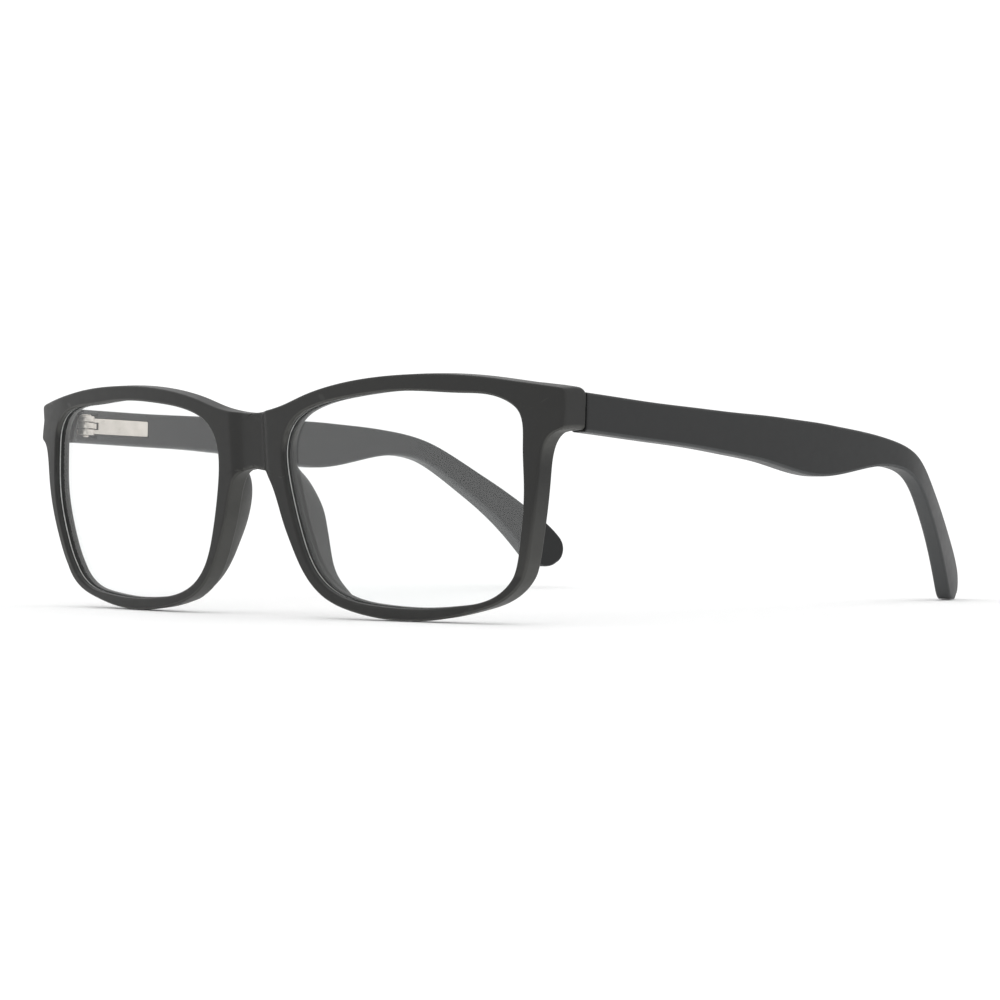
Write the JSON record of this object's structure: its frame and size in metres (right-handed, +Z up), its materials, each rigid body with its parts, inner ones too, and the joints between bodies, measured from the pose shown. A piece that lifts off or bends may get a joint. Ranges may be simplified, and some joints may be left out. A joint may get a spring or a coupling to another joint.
{
  "type": "eyeglasses frame",
  "caption": "Full-rim plastic eyeglasses frame with clear lenses, moulded nose pads and temples that fold on sprung metal hinges.",
  "frame": {"origin": "bottom centre of the bounding box: midway between the temples and midway from front to temple tips, on the plane that the rims and the left temple tip stand on", "axes": "+X to the wearer's left, -Y the way the wearer looks, +Z up"},
  "size_m": [0.1388, 0.1382, 0.042],
  "materials": {
    "black_plastic": "matte black",
    "clear_lens": "clear, polished",
    "hinge_metal": "nickel-silver, satin",
    "spring_steel": "bright steel"
  },
  "bodies": {
    "front": {"front_frame": "black_plastic", "lens_left": "clear_lens", "nose_pad_left": "black_plastic", "hinge_leaf_left": "hinge_metal", "hinge_screw_left": "hinge_metal", "lens_right": "clear_lens", "nose_pad_right": "black_plastic", "hinge_leaf_right": "hinge_metal", "hinge_screw_right": "hinge_metal"},
    "left_slider": {"hinge_slider_left": "hinge_metal", "spring_nut_left": "spring_steel"},
    "left_temple": {"temple_left": "black_plastic", "temple_core_wire_left": "spring_steel", "spring_housing_left": "hinge_metal", "spring_bushing_left": "spring_steel", "hinge_spring_left": "spring_steel"},
    "right_slider": {"hinge_slider_right": "hinge_metal", "spring_nut_right": "spring_steel"},
    "right_temple": {"temple_right": "black_plastic", "temple_core_wire_right": "spring_steel", "spring_housing_right": "hinge_metal", "spring_bushing_right": "spring_steel", "hinge_spring_right": "spring_steel"}
  },
  "joints": [
    {"name": "left_temple_fold", "type": "hinge", "parent": "front", "child": "left_slider", "pos_m": [0.0652, -0.05405, 0.03498], "axis": [0, 0.0366, 0.9993], "range_deg": [0, 86]},
    {"name": "left_spring_slide", "type": "slide", "parent": "left_slider", "child": "left_temple", "axis": [0, 0.9993, -0.0366], "range_m": [0, 0.0012], "stiffness_N_per_m": 4000, "springref_m": -0.0015, "deforming": ["hinge_spring_left"]},
    {"name": "right_temple_fold", "type": "hinge", "parent": "front", "child": "right_slider", "pos_m": [-0.0652, -0.05405, 0.03498], "axis": [0, -0.0366, -0.9993], "range_deg": [0, 74]},
    {"name": "right_spring_slide", "type": "slide", "parent": "right_slider", "child": "right_temple", "axis": [0, 0.9993, -0.0366], "range_m": [0, 0.0012], "stiffness_N_per_m": 4000, "springref_m": -0.0015, "deforming": ["hinge_spring_right"]}
  ]
}
